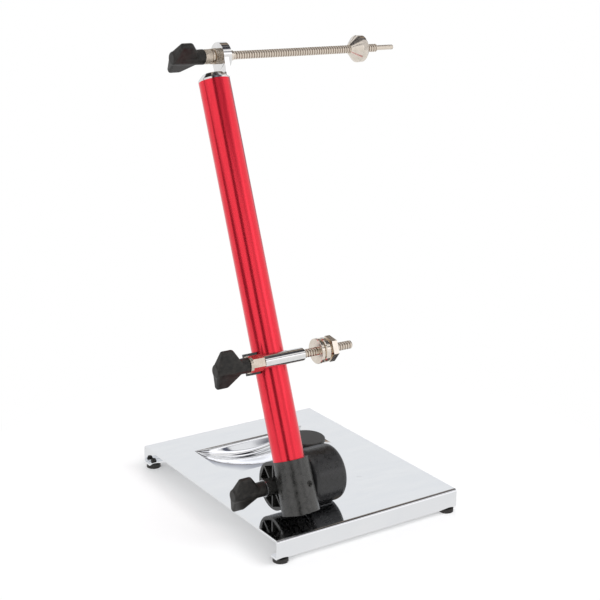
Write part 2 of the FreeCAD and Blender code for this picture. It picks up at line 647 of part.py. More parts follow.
def make_cone():
    cone = turned("axle_cone", [
        ("cone_start", "rod_radius + running_fit"), ("cone_end", "rod_radius + running_fit"),
        ("cone_end", "cone_radius"), ("cone_end - 0.5", "cone_radius"),
        ("cone_start", "cone_tip_radius")])
    nut = turned("cone_nut", [
        ("cone_end + face_gap", "rod_radius + running_fit"),
        ("cone_nut_end", "rod_radius + running_fit"),
        ("cone_nut_end", "cone_radius - cone_nut_chamfer"),
        ("cone_nut_end - cone_nut_chamfer", "cone_radius"),
        ("cone_end + face_gap", "cone_radius")])
    for side in (1, -1):
        flat = new_sketch(nut, "YZ_Plane", "cone_end - 1")
        box(flat, f"{side} * cone_nut_flat", f"{side} * (cone_radius + 1)", "-cone_radius",
            "cone_radius")
        pocket(nut, flat, "cone_nut_end - cone_end + 3", reversed_side=True)
    for piece in (cone, nut):
        on_arm(piece, "eye_height")


# --- calliper ----------------------------------------------------------------

def make_calliper_collar():
    """Split clamp ring on the tube with a saddle for the barrel and a side ear."""
    body = new_body("calliper_collar")
    outline = new_sketch(body, "XY_Plane", "calliper_height")
    circle(outline, "0", "0", "ring_radius")
    pad(body, outline, "2 * ring_half_height", symmetric=True)
    ear = new_sketch(body, "XY_Plane", "calliper_height")
    box(ear, "-ear_reach", "-tube_radius", "-ear_half_depth", "ear_half_depth")
    pad(body, ear, "2 * ear_half_height", symmetric=True)
    opening = new_sketch(body, "XY_Plane", "calliper_height")
    circle(opening, "0", "0", "tube_radius + 0.1")
    pocket(body, opening, "3 * ear_half_height", symmetric=True)
    slot = new_sketch(body, "XY_Plane", "calliper_height")
    box(slot, "-ear_reach - 1", "-tube_radius + 2", "-0.8", "0.8")
    pocket(body, slot, "3 * ear_half_height", symmetric=True)
    saddle = new_sketch(body, "YZ_Plane")
    circle(saddle, "-calliper_front", "calliper_height", "barrel_tube_radius")
    pocket(body, saddle, "4 * ring_radius", symmetric=True)
    bolt = new_sketch(body, "XZ_Plane")
    circle(bolt, "-ear_reach + 4", "calliper_height", "2")
    pocket(body, bolt, "4 * ear_half_depth", symmetric=True)
    on_arm(body)


def make_collar_screw():
    """Clamp screw across the ear's slot, head to the front, nut behind."""
    body = new_body("collar_screw")
    shank = new_sketch(body, "XZ_Plane")
    circle(shank, "-ear_reach + 4", "calliper_height", "2 - seat_gap")
    pad(body, shank, "2 * ear_half_depth + 4", symmetric=True)
    head = new_sketch(body, "XZ_Plane", "ear_half_depth")
    circle(head, "-ear_reach + 4", "calliper_height", "3.4")
    pad(body, head, "2.4")
    tail = new_sketch(body, "XZ_Plane", "-ear_half_depth")
    polygon(tail, [(f"-ear_reach + 4 + 3.8 * cos({60 * k} deg)",
                    f"calliper_height + 3.8 * sin({60 * k} deg)") for k in range(6)])
    pad(body, tail, "2.6", reversed_side=True)
    on_arm(body)


def make_calliper_barrel():
    """Chromed guide tube for the gauge rod, wider where the nut bears."""
    body = turned("calliper_barrel", [
        ("barrel_tube_left", "rod_radius + running_fit"),
        ("barrel_tube_right", "rod_radius + running_fit"),
        ("barrel_tube_right", "barrel_tube_radius - 1.2"),
        ("barrel_tube_right - 1.2", "barrel_tube_radius"),
        ("barrel_tube_left", "barrel_tube_radius")])
    on_arm(body, "calliper_height", "calliper_front")


def make_calliper_drive():
    knob = make_knob("calliper_knob", "rod_radius + running_fit")
    seat_knob(knob, "calliper_knob_base", "calliper_height", "calliper_front",
              "calliper_knob_turn")
    nut = ring("calliper_nut", "calliper_knob_base", "calliper_knob_base + nut_flange",
               "nut_flange_radius", "rod_radius + running_fit")
    body_sketch = new_sketch(nut, "YZ_Plane", "calliper_knob_base + nut_flange")
    hexagon(body_sketch, "nut_flat")
    circle(body_sketch, "0", "0", "rod_radius + running_fit")
    pad(nut, body_sketch, "nut_end - calliper_knob_base - nut_flange")
    on_arm(nut, "calliper_height", "calliper_front")


def make_gauge():
    """Gauge rod with a grooved feeler disc and its locknut."""
    groove = "gauge_disc_start + gauge_disc_width"
    band = f"{groove} + gauge_groove_width"
    end = f"{band} + gauge_ring_width"
    bore = "rod_radius + seat_gap"
    rod = turned("gauge_rod", [
        ("gauge_rod_start", "0"), ("gauge_rod_end", "0"), ("gauge_rod_end", "rod_radius - 0.7"),
        ("gauge_rod_end - 0.7", "rod_radius"), ("gauge_rod_start", "rod_radius")])
    disc = turned("gauge_disc", [
        ("gauge_disc_start", bore), (band, bore), (band, "gauge_groove_radius"),
        (groove, "gauge_groove_radius"), (groove, "gauge_disc_radius - 0.4"),
        (f"{groove} - 0.4", "gauge_disc_radius"),
        ("gauge_disc_start + 0.4", "gauge_disc_radius"),
        ("gauge_disc_start", "gauge_disc_radius - 0.4")])
    band_ring = ring("gauge_ring", band, end, "gauge_ring_radius", bore, "0.8")
    nut = ring("gauge_locknut", end, f"{end} + locknut_gap", "locknut_neck", bore)
    body_sketch = new_sketch(nut, "YZ_Plane", f"{end} + locknut_gap")
    hexagon(body_sketch, "locknut_flat")
    circle(body_sketch, "0", "0", bore)
    pad(nut, body_sketch, "locknut_width")
    for piece in (rod, disc, band_ring, nut):
        on_arm(piece, "calliper_height", "calliper_front")


# --- build -------------------------------------------------------------------

for make in (make_base_plate, make_rubber_feet, make_pivot_housing, make_housing_cap,
             make_base_screws, make_pivot_bolt, make_friction_washer, make_arm_knuckle,
             make_arm_tube, make_knuckle_screw, make_arm_eye, make_pivot_knob, make_axle,
             make_cone, make_calliper_collar, make_collar_screw, make_calliper_barrel,
             make_calliper_drive, make_gauge):
    make()
doc.recompute()

for item in doc.Objects:
    if "Invalid" in item.State or "Error" in item.State:
        raise RuntimeError(f"{item.Label} did not compute: {item.State}")

os.makedirs("parts", exist_ok=True)
for part in parts:
    if part.Shape.isNull() or not part.Shape.isValid():
        raise RuntimeError(f"{part.Label} has no valid shape")
    part.Shape.exportStep(f"parts/{part.Label}.step")
    print(part.Label, round(part.Shape.Volume, 1), len(part.Shape.Solids))
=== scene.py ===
import json
import math

import bmesh
import bpy
from mathutils import Matrix, Vector


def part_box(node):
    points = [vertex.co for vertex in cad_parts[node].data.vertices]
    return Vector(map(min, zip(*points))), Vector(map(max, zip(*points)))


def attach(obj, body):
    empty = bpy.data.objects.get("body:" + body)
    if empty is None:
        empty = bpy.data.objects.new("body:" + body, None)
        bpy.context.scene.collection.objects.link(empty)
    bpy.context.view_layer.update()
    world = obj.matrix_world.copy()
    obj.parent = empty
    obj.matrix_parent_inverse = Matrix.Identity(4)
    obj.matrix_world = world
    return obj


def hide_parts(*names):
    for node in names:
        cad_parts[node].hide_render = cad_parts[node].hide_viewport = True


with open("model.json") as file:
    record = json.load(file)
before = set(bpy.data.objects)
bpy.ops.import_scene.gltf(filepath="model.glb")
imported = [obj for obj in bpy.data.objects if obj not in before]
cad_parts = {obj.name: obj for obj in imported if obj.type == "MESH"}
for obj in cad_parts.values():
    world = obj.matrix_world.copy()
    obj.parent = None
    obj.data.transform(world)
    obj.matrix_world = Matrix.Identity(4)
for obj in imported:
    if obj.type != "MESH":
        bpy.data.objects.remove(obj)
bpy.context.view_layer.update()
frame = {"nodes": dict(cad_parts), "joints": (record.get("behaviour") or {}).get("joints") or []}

# Bench stand for truing bicycle wheels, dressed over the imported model.  Metres.
MM = 0.001
NODES = frame["nodes"]

JOINT_PLACES = {joint["name"]: Vector(joint["pos_m"]) for joint in frame["joints"]
                if "pos_m" in joint}
AXLE = JOINT_PLACES["axle_turn"]
GAUGE = JOINT_PLACES["calliper_knob_turn"]
ARM_LEAN = math.radians(21.8)

# Both rods: a coarse rolled thread with rounded-off crests
ROD_RADIUS = 3.9 * MM
THREAD_PITCH = 2.7 * MM
THREAD_DEPTH = 0.42 * MM
STEPS_PER_PITCH = 9
POINTS_ROUND_ROD = 28


# --- node helpers ------------------------------------------------------------
# Each takes the material or the world whose nodes it adds to.

def add_node(owner, kind, **settings):
    """New node; a setting is one of its sockets' values or a property of its own."""
    node = owner.node_tree.nodes.new(kind)
    for name, setting in settings.items():
        if name in node.inputs:
            node.inputs[name].default_value = setting
        else:
            setattr(node, name, setting)
    return node


def feed(owner, socket, source):
    """Link a socket to what feeds it, or set it where that is a plain value."""
    if isinstance(source, bpy.types.NodeSocket):
        owner.node_tree.links.new(source, socket)
    else:
        socket.default_value = source


def add_maths(owner, operation, *terms):
    node = add_node(owner, "ShaderNodeMath", operation=operation)
    for socket, term in zip(node.inputs, terms):
        feed(owner, socket, term)
    return node.outputs[0]


def mix_colours(owner, mode, factor, first, second):
    node = add_node(owner, "ShaderNodeMix", data_type="RGBA", blend_type=mode)
    feed(owner, node.inputs["Factor"], factor)
    feed(owner, node.inputs["A"], first)
    feed(owner, node.inputs["B"], second)
    return node.outputs["Result"]


def mix_shaders(owner, factor, first, second):
    node = add_node(owner, "ShaderNodeMixShader")
    feed(owner, node.inputs["Fac"], factor)
    feed(owner, node.inputs[1], first)
    feed(owner, node.inputs[2], second)
    return node.outputs[0]


def add_ramp(owner, source, stops):
    """Colour ramp; each stop is made at its own place, so that none change order."""
    node = add_node(owner, "ShaderNodeValToRGB")
    elements = node.color_ramp.elements
    elements.remove(elements[-1])
    elements[0].position = stops[0][0]
    elements[0].color = (*stops[0][1], 1.0)
    for position, colour in stops[1:]:
        elements.new(position).color = (*colour, 1.0)
    feed(owner, node.inputs["Fac"], source)
    return node.outputs["Color"]


# --- materials ---------------------------------------------------------------

def new_material(name, **sockets):
    """Principled material with its plain values set on the shader's own sockets."""
    material = bpy.data.materials.new(name)
    material.use_nodes = True
    for socket, setting in sockets.items():
        shader_of(material).inputs[socket.replace("_", " ")].default_value = setting
    return material


def shader_of(material):
    return material.node_tree.nodes["Principled BSDF"]


def add_noise(material, scale, detail=3.0, stretch=(1, 1, 1)):
    """Noise in the object's own coordinates, so that it stays put on the part."""
    place = add_node(material, "ShaderNodeTexCoord")
    mapping = add_node(material, "ShaderNodeMapping", Scale=stretch)
    noise = add_node(material, "ShaderNodeTexNoise", Scale=scale, Detail=detail)
    feed(material, mapping.inputs["Vector"], place.outputs["Object"])
    feed(material, noise.inputs["Vector"], mapping.outputs["Vector"])
    return noise.outputs["Fac"]


def add_bump(material, height, distance, strength):
    bump = add_node(material, "ShaderNodeBump", Distance=distance, Strength=strength)
    feed(material, bump.inputs["Height"], height)
    feed(material, shader_of(material).inputs["Normal"], bump.outputs["Normal"])


def vary_roughness(material, texture, least, most):
    limits = add_node(material, "ShaderNodeMapRange")
    limits.inputs["To Min"].default_value = least
    limits.inputs["To Max"].default_value = most
    feed(material, limits.inputs["Value"], texture)
    feed(material, shader_of(material).inputs["Roughness"], limits.outputs["Result"])


def vary_colour(material, texture, stops):
    feed(material, shader_of(material).inputs["Base Color"],
         add_ramp(material, texture, stops))


def weather(material, texture, roughness, stops):
    """Let one texture spread both the roughness and the colour."""
    vary_roughness(material, texture, *roughness)
    vary_colour(material, texture, stops)


def make_plain_metal(name, grain, roughness, dark, light, metallic=1.0):
    material = new_material(name, Metallic=metallic)
    weather(material, add_noise(material, grain), roughness, [(0.3, dark), (0.7, light)])
    return material


def make_chrome_sheet():
    """Mirror chrome over rolled sheet: faint waves and a few dull smears."""
    material = new_material("chrome_sheet", Metallic=1.0)
    add_bump(material, add_noise(material, 9.0, 1.0), 0.3 * MM, 0.35)
    weather(material, add_noise(material, 28.0, 4.0, (1, 3, 1)), (0.035, 0.1),
            [(0.3, (0.86, 0.875, 0.90)), (0.7, (0.90, 0.91, 0.925))])
    return material


def make_nickel(name, dark, light, rough, ring_depth):
    """Warm nickel plate over turned steel, with fine rings from the lathe."""
    material = new_material(name, Metallic=1.0)
    add_bump(material, add_noise(material, 40.0, 2.0, (45, 1, 1)), ring_depth, 0.5)
    weather(material, add_noise(material, 240.0, 4.0), (rough, rough + 0.14),
            [(0.3, dark), (0.7, light)])
    return material


def make_thread_steel():
    """Rolled thread in the same plate, with painted shade that darkens and browns it from the
    crest down into the thread's root.
    """
    material = new_material("nickel_thread", Metallic=1.0)
    vary_roughness(material, add_noise(material, 120.0), 0.25, 0.38)
    groove = add_node(material, "ShaderNodeAttribute", attribute_name="groove")
    # Painted shade: the colour runs from pale at the thread's crest to dark brown at its root,
    # by the stored groove depth
    vary_colour(material, groove.outputs["Fac"],
                [(0.1, (0.82, 0.74, 0.64)), (0.5, (0.60, 0.50, 0.41)),
                 (0.95, (0.27, 0.21, 0.165))])
    return material


def make_red_anodised():
    """Dyed anodised aluminium: metal under a clear red oxide, drawn along the tube."""
    material = new_material("red_anodised", Metallic=0.85, Coat_Weight=0.35,
                            Coat_Roughness=0.12)
    drawn = add_noise(material, 60.0, 4.0, (30, 1, 1))
    weather(material, drawn, (0.15, 0.22),
            [(0.25, (0.80, 0.020, 0.042)), (0.75, (0.92, 0.034, 0.062))])
    add_bump(material, drawn, 0.06 * MM, 0.3)
    return material


def make_black_nylon(name, dark, light, rough, gloss, stretch=(1, 1, 1)):
    """Glass-filled moulding: spark-eroded grain, flow marks and handling scuffs."""
    material = new_material(name, Specular_IOR_Level=gloss)
    add_bump(material, add_noise(material, 900.0, 4.0), 0.2 * MM, 0.5)
    weather(material, add_noise(material, 260.0, 6.0, stretch), (rough - 0.14, rough + 0.2),
            [(0.35, dark), (0.62, light)])
    return material


def make_rubber():
    material = new_material("black_rubber")
    grain = add_noise(material, 900.0)
    add_bump(material, grain, 0.1 * MM, 0.4)
    weather(material, grain, (0.55, 0.75),
            [(0.3, (0.012, 0.011, 0.010)), (0.8, (0.03, 0.028, 0.026))])
    return material


CHROME_SHEET = make_chrome_sheet()
CHROME = make_plain_metal("chrome_turned", 160.0, (0.05, 0.14),
                          (0.80, 0.80, 0.80), (0.88, 0.88, 0.88))
NICKEL = make_nickel("nickel_turned", (0.60, 0.52, 0.43), (0.76, 0.67, 0.57), 0.18,
                     0.12 * MM)
PALE_NICKEL = make_nickel("nickel_pale", (0.74, 0.67, 0.58), (0.88, 0.81, 0.73), 0.1,
                          0.04 * MM)
THREAD = make_thread_steel()
ZINC = make_plain_metal("zinc_plate", 500.0, (0.25, 0.5),
                        (0.45, 0.46, 0.48), (0.62, 0.63, 0.64))
BRASS = make_plain_metal("brass", 400.0, (0.22, 0.4),
                         (0.62, 0.45, 0.20), (0.75, 0.56, 0.28))
RED = make_red_anodised()
NYLON = make_black_nylon("black_nylon", (0.004, 0.004, 0.0045), (0.010, 0.010, 0.011),
                         0.27, 0.7)
SLEEVE_NYLON = make_black_nylon("sleeve_nylon", (0.008, 0.008, 0.0075),
                                (0.022, 0.0215, 0.020), 0.26, 0.85)
CAP_NYLON = make_black_nylon("cap_nylon", (0.018, 0.018, 0.017), (0.034, 0.034, 0.032),
                             0.46, 0.5, (1, 6, 1))
KNOB_NYLON = make_black_nylon("knob_nylon", (0.008, 0.0075, 0.007), (0.021, 0.019, 0.017),
                              0.4, 0.34)
BLACK_OXIDE = make_plain_metal("black_oxide", 400.0, (0.25, 0.4),
                               (0.02, 0.02, 0.02), (0.06, 0.058, 0.055), metallic=0.7)
RUBBER = make_rubber()

# What each CAD node that stays in view is made of, and the small radius worn on its edges
FINISHES = {
    CHROME_SHEET: ["base_plate"],
    CHROME: ["arm_eye", "calliper_barrel"],
    NICKEL: ["calliper_nut"],
    PALE_NICKEL: ["axle_spacer", "axle_cone", "cone_nut", "gauge_disc", "gauge_ring",
                  "gauge_locknut"],
    ZINC: ["base_screws", "pivot_bolt", "pivot_knob_washer", "collar_screw"],
    BRASS: ["pivot_knob_insert"],
    RED: ["arm_tube"],
    NYLON: ["friction_washer", "calliper_collar"],
    SLEEVE_NYLON: ["arm_knuckle"],
    CAP_NYLON: ["housing_cap"],
    RUBBER: ["rubber_feet"],
}
WORN_EDGES = {
    0.2 * MM: ["axle_spacer"],
    0.25 * MM: ["axle_cone", "gauge_disc"],
    0.3 * MM: ["cone_nut", "calliper_nut", "gauge_ring", "gauge_locknut", "collar_screw"],
    0.4 * MM: ["arm_eye"],
    0.5 * MM: ["arm_knuckle", "housing_cap", "calliper_collar"],
    0.6 * MM: ["rubber_feet"],
}


# --- mesh helpers ------------------------------------------------------------

def new_piece(name, mesh):
    piece = bpy.data.objects.new(name, mesh)
    bpy.context.scene.collection.objects.link(piece)
    return piece


def to_mesh(name, builder):
    """The builder's faces as a mesh; the builder is freed."""
    mesh = bpy.data.meshes.new(name)
    builder.to_mesh(mesh)
    builder.free()
    return mesh


def smooth_by_angle(mesh, degrees):
    """Smooth shading that keeps edges sharper than the angle crisp."""
    mesh.polygons.foreach_set("use_smooth", [True] * len(mesh.polygons))
    mesh.set_sharp_from_angle(angle=math.radians(degrees))


def spread(start, end, step):
    """Even places from start to end, about a step apart."""
    count = max(2, round((end - start) / step))
    return [start + (end - start) * k / count for k in range(count + 1)]


def skin_over(name, outlines):
    """Piece with one closed skin over a row of outlines, filled at both ends."""
    builder = bmesh.new()
    loops = [[builder.verts.new(point) for point in outline] for outline in outlines]
    for near, far in zip(loops, loops[1:]):
        for k in range(len(near)):
            following = (k + 1) % len(near)
            builder.faces.new((near[k], far[k], far[following], near[following]))
    builder.faces.new(loops[0])
    builder.faces.new(list(reversed(loops[-1])))
    bmesh.ops.recalc_face_normals(builder, faces=builder.faces)
    return new_piece(name, to_mesh(name, builder))


def surface_about(name, centre, stations, radius_at, around):
    """Closed skin about a line along X: radius_at(x, angle) gives each point's radius."""
    def point_at(x, angle):
        radius = radius_at(x, angle)
        return centre + Vector((x, radius * math.cos(angle), radius * math.sin(angle)))

    angles = [2 * math.pi * k / around for k in range(around)]
    return skin_over(name, [[point_at(x, angle) for angle in angles] for x in stations])


def apply_modifiers(piece):
    """Make what the piece's modifiers show into its own mesh."""
    graph = bpy.context.evaluated_depsgraph_get()
    mesh = bpy.data.meshes.new_from_object(piece.evaluated_get(graph))
    piece.modifiers.clear()
    piece.data = mesh
    return mesh


def soften_edges(node, width):
    """Small worn radius on a CAD node's crisp edges; its own mesh stays as it is."""
    bevel = NODES[node].modifiers.new("edge_radius", "BEVEL")
    bevel.width = width
    bevel.segments = 2
    bevel.limit_method = "ANGLE"
    bevel.angle_limit = math.radians(30)
    bevel.harden_normals = True


def moulded(node, voxel, passes):
    """Copy of a CAD node with its edges and inner corners rounded as a mould leaves them."""
    piece = new_piece(f"{node}_moulded", NODES[node].data.copy())
    remesh = piece.modifiers.new("skin", "REMESH")
    remesh.mode = "VOXEL"
    remesh.voxel_size = voxel
    remesh.use_smooth_shade = True
    soft = piece.modifiers.new("soften", "SMOOTH")
    soft.iterations = passes
    mesh = apply_modifiers(piece)
    mesh.polygons.foreach_set("use_smooth", [True] * len(mesh.polygons))
    return piece


def dress(piece, material, body, replaced):
    """Give a new piece its material and body, and hide the CAD node that it stands for."""
    piece.data.materials.clear()
    piece.data.materials.append(material)
    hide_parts(replaced)
    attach(piece, body)


# --- pieces ------------------------------------------------------------------

def make_scoop_roll():
    """Rolled corner at the back of the finger scoop, from the plate down to its floor."""
    # The scoop in the solid: plate's face, its two ends front to back, width and depth
    top, back, front = 22.8 * MM, 86.0 * MM, 18.0 * MM
    half, deepest = 65.5 * MM, 16.6 * MM
    bow = (half ** 2 + deepest ** 2) / (2 * deepest)
    low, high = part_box("base_plate")
    middle = (low.x + high.x) / 2
    stations, steps = 72, 30
    reach = 0.995 * half    # stops short of the scoop's tips, where it has no depth
    sink = 0.4 * MM         # how far the hidden side lies in the sheet

    outlines = []
    for x in spread(-reach, reach, 2 * half / stations):
        depth = math.sqrt(bow ** 2 - x ** 2) - (bow - deepest)
        brow, root = min(3.0 * MM, 0.4 * depth), min(5.0 * MM, 0.45 * depth)
        floor_tilt = math.atan2(depth, back - front)
        outline = []
        for k in range(steps):
            angle = math.pi / 2 * k / (steps - 1)
            outline.append((back - brow * math.sin(angle), top - brow * (1 - math.cos(angle))))
        wall = back - brow
        foot = top - depth * (wall - root - front) / (back - front)
        for k in range(steps):
            angle = (math.pi / 2 - floor_tilt) * k / (steps - 1)
            outline.append((wall - root * (1 - math.cos(angle)),
                            foot + root * (1 - math.sin(angle))))
        end = outline[-1]
        outline += [(end[0] - sink, end[1] - 2 * sink), (back + sink, top - depth - sink),
                    (back + sink, top - sink / 2)]
        outlines.append([(middle + x, y, z) for y, z in outline])
    piece = skin_over("scoop_roll", outlines)
    smooth_by_angle(piece.data, 40)
    piece.data.materials.append(CHROME_SHEET)
    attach(piece, "base")


def make_threaded_rod(name, centre, start, end, thread_from, pin=None):
    """Rod with a rolled thread from thread_from to end, and plain before it.

    pin is the radius and the end of a plain pin beyond the thread, where there is one.
    """
    chamfer, pin_chamfer = 0.6 * MM, 0.5 * MM
    shoulder = 0.01 * MM    # the length in which the rod steps down to its pin

    def radius_at(x, angle):
        if pin and x > end:
            pin_radius, pin_end = pin
            return pin_radius - max(0.0, x - pin_end + pin_chamfer)
        turn = (x / THREAD_PITCH - angle / (2 * math.pi)) % 1.0
        # Straight flanks between a root of 1/8 of the pitch and a crest of 3/8
        flank = min(1.0, abs(turn - 0.5) * 4.0 - 0.25)
        groove = THREAD_DEPTH * (1.0 - max(0.0, flank)) if x > thread_from else 0.0
        return min(ROD_RADIUS - groove, ROD_RADIUS - chamfer + end - x)

    stations = spread(start, thread_from, 4 * MM)
    stations += spread(thread_from, end, THREAD_PITCH / STEPS_PER_PITCH)[1:]
    if pin:
        pin_end = pin[1]
        stations.append(end + shoulder)
        stations += spread(end + 2 * shoulder, pin_end - pin_chamfer, 6 * MM)
        stations.append(pin_end)
    piece = surface_about(name, centre, stations, radius_at, POINTS_ROUND_ROD)
    smooth_by_angle(piece.data, 50)
    mark_grooves(piece.data, centre, end)
    return piece


def mark_grooves(mesh, centre, end):
    """Store how deep each point lies in the thread, from 0 at the crest to 1 at the root; the
    thread's material paints shade into the roots by it.
    """
    root_shade = mesh.attributes.new("groove", "FLOAT", "POINT")
    for point, mark in zip(mesh.vertices, root_shade.data):
        if point.co.x - centre.x < end:
            out = math.hypot(point.co.y - centre.y, point.co.z - centre.z)
            mark.value = min(1.0, max(0.0, (ROD_RADIUS - out) / THREAD_DEPTH))


def make_knurled_collar():
    """Diamond knurl between two plain bands."""
    radius, depth = 6.8 * MM, 0.38 * MM
    start, end = -6.7 * MM, 0.9 * MM
    band, step, chamfer = 0.9 * MM, 0.15 * MM, 0.35 * MM
    lines, slant = 26, 6.3 * 2 * math.pi
    points_per_line = 8

    def radius_at(x, angle):
        from_end = min(x - start, end - x)
        if from_end < band:
            return radius - step - max(0.0, chamfer - from_end)
        along = (x - start) / (end - start) * slant
        left = abs(math.sin((angle * lines + along) / 2))
        right = abs(math.sin((angle * lines - along) / 2))
        return radius - depth * (1 - min(left, right))

    piece = surface_about("axle_collar_knurled", AXLE, spread(start, end, 0.24 * MM),
                          radius_at, lines * points_per_line)
    smooth_by_angle(piece.data, 60)
    return piece


def make_serrated_nut():
    """Round nut: plain shoulder, waist, and a rim cut with fine teeth at the eye."""
    radius, start, end = 7.2 * MM, 0.9 * MM, 8.2 * MM
    waist_from, waist_to = start + 1.6 * MM, start + 3.0 * MM
    shoulder, waist = radius - 0.2 * MM, radius - 1.6 * MM
    teeth, tooth_depth, chamfer = 30, 0.7 * MM, 0.5 * MM
    points_per_tooth = 8

    def radius_at(x, angle):
        if x < waist_from:
            return shoulder
        if x < waist_to:
            return waist
        tooth = abs(((angle * teeth / (2 * math.pi)) % 1.0) - 0.5) * 2
        rim = radius - tooth_depth * (1 - tooth) ** 1.4
        return min(rim, radius - chamfer + (end - x))

    piece = surface_about("axle_nut_serrated", AXLE, spread(start, end, 0.25 * MM),
                          radius_at, teeth * points_per_tooth)
    smooth_by_angle(piece.data, 40)
    return piece


def make_crossed_screw():
    """The knuckle screw with the cross cut into its head."""
    piece = new_piece("knuckle_screw_crossed", NODES["knuckle_screw"].data.copy())
    out = Vector((0, -math.cos(ARM_LEAN), math.sin(ARM_LEAN)))
    reach = max(point.co.dot(out) for point in piece.data.vertices)
    face = [point.co for point in piece.data.vertices
            if reach - point.co.dot(out) < 0.05 * MM]
    centre = sum(face, Vector()) / len(face)
    turn = Matrix.Rotation(-ARM_LEAN, 4, "X") @ Matrix.Rotation(math.radians(28), 4, "Y")
    length, depth, width = 3.9 * MM, 2.4 * MM, 0.95 * MM
    builder = bmesh.new()
    for size in ((length, depth, width), (width, depth, length)):
        bmesh.ops.create_cube(builder, size=1.0, matrix=(
            Matrix.Translation(centre) @ turn @ Matrix.Diagonal((*size, 1))))
    cross = new_piece("cross", to_mesh("cross", builder))
    cut = piece.modifiers.new("cross", "BOOLEAN")
    cut.operation = "DIFFERENCE"
    cut.use_self = True
    cut.object = cross
    mesh = apply_modifiers(piece)
    bpy.data.objects.remove(cross)
    smooth_by_angle(mesh, 35)
    return piece


def dress_cad_nodes():
    for material, names in FINISHES.items():
        for name in names:
            mesh = NODES[name].data
            mesh.materials.clear()
            mesh.materials.append(material)
    for width, names in WORN_EDGES.items():
        for name in names:
            soften_edges(name, width)


def make_pieces():
    dress_cad_nodes()
    for knob, body in (("pivot_knob", "tension_knob"), ("calliper_knob", "calliper_drive"),
                       ("axle_knob", "axle")):
        dress(moulded(knob, voxel=0.45 * MM, passes=9), KNOB_NYLON, body, knob)
    dress(moulded("pivot_housing", voxel=0.7 * MM, passes=8), NYLON, "base",
          "pivot_housing")
    axle = make_threaded_rod("axle_rod_threaded", AXLE, start=-29.5 * MM, end=188.2 * MM,
                             thread_from=18 * MM, pin=(2.4 * MM, 208.7 * MM))
    dress(axle, THREAD, "axle", "axle_rod")
    gauge = make_threaded_rod("gauge_rod_threaded", GAUGE, start=-53 * MM, end=75.7 * MM,
                              thread_from=-52 * MM)
    dress(gauge, THREAD, "gauge", "gauge_rod")
    dress(make_knurled_collar(), NICKEL, "axle", "axle_knurled_collar")
    dress(make_serrated_nut(), NICKEL, "axle", "axle_clamp_nut")
    dress(make_crossed_screw(), BLACK_OXIDE, "arm", "knuckle_screw")
    make_scoop_roll()


# --- studio ------------------------------------------------------------------

# The camera that was fitted to the photograph's outlines
CAMERA_PLACE = Vector((-659.3, -981.5, 542.6)) * MM
CAMERA_YAW, CAMERA_PITCH, CAMERA_ROLL = map(math.radians, (33.807, 16.433, 0.707))
FOCAL_LENGTH, SENSOR_WIDTH = 77.35, 36.0

# The floor fades from lit paper to plain white between these reaches from its middle
FLOOR_HALF = 1.8
FADE_FROM, FADE_TO, LEAST_FADE = 0.17, 0.36, 0.1
REFLECTED_FLOOR = 0.84

EVEN_LIGHT = (0.62, 0.62, 0.63, 1)
PLAIN_WHITE = (1, 1, 1, 1)


def warm_grey(level):
    return (level, level * 0.985, level * 0.975)


# Studio walls as a reflection sees them: (turn about the stand from -X, colour).
# The narrow dark card in front, to the left, puts the stripe down the tube's middle.
WALLS = [
    (0.000, warm_grey(0.88)), (0.110, warm_grey(0.97)), (0.128, warm_grey(0.08)),
    (0.172, warm_grey(0.05)), (0.190, warm_grey(0.97)), (0.250, warm_grey(0.97)),
    (0.270, warm_grey(0.72)), (0.310, warm_grey(0.72)), (0.345, warm_grey(0.97)),
    (0.50, warm_grey(0.88)), (0.56, (0.84, 0.86, 0.88)), (0.90, warm_grey(0.88))]
# The same by height.  A dark cornice runs round under the white ceiling; behind the stand
# it comes further down and the foot of the wall is grey, in front a thin rail runs below it.
WHITE, BLACK = (1.0, 1.0, 1.0), (0.0, 0.0, 0.0)
HEIGHTS_BEHIND = [
    (0.0, (0.36, 0.37, 0.42)), (0.10, (0.52, 0.53, 0.58)), (0.24, WHITE), (0.465, WHITE),
    (0.485, (0.40, 0.29, 0.21)), (0.53, (0.07, 0.06, 0.05)), (0.62, (0.03, 0.03, 0.03)),
    (0.68, (0.34, 0.27, 0.21)), (0.79, (0.42, 0.34, 0.27)), (0.82, (0.04, 0.035, 0.035)),
    (0.86, (0.04, 0.035, 0.035)), (0.89, WHITE)]
HEIGHTS_IN_FRONT = [
    (0.0, WHITE), (0.49, WHITE), (0.505, (0.10, 0.11, 0.15)), (0.57, (0.08, 0.085, 0.115)),
    (0.59, WHITE), (0.73, WHITE), (0.77, (0.20, 0.20, 0.23)), (0.81, (0.04, 0.04, 0.045)),
    (0.86, (0.04, 0.04, 0.045)), (0.89, WHITE)]
BEHIND = [(0.55, BLACK), (0.57, WHITE), (0.68, WHITE), (0.70, BLACK)]

# Two cards, each with its span by height and by turn: a bright one in front, to the right,
# for the highlights on the mouldings,
BRIGHT = (0.5, 0.5, 0.55)
CARD_HEIGHTS = [(0.26, BLACK), (0.31, BRIGHT), (0.40, BRIGHT), (0.45, BLACK)]
CARD_WIDTHS = [(0.305, BLACK), (0.325, WHITE), (0.365, WHITE), (0.385, BLACK)]
# and a low dark one on the left, for the dark stripe along the tube's left side
SKIRT_HEIGHTS = [(0.0, WHITE), (0.08, WHITE), (0.13, BLACK)]
SKIRT_WIDTHS = [(0.012, WHITE), (0.028, BLACK), (0.925, BLACK), (0.945, WHITE)]
SKIRT_COLOUR = (*warm_grey(0.08), 1)


def aim_along(direction):
    """Turn that points a camera or a lamp along a direction, upright."""
    return direction.to_track_quat("-Z", "Y").to_matrix().to_4x4()


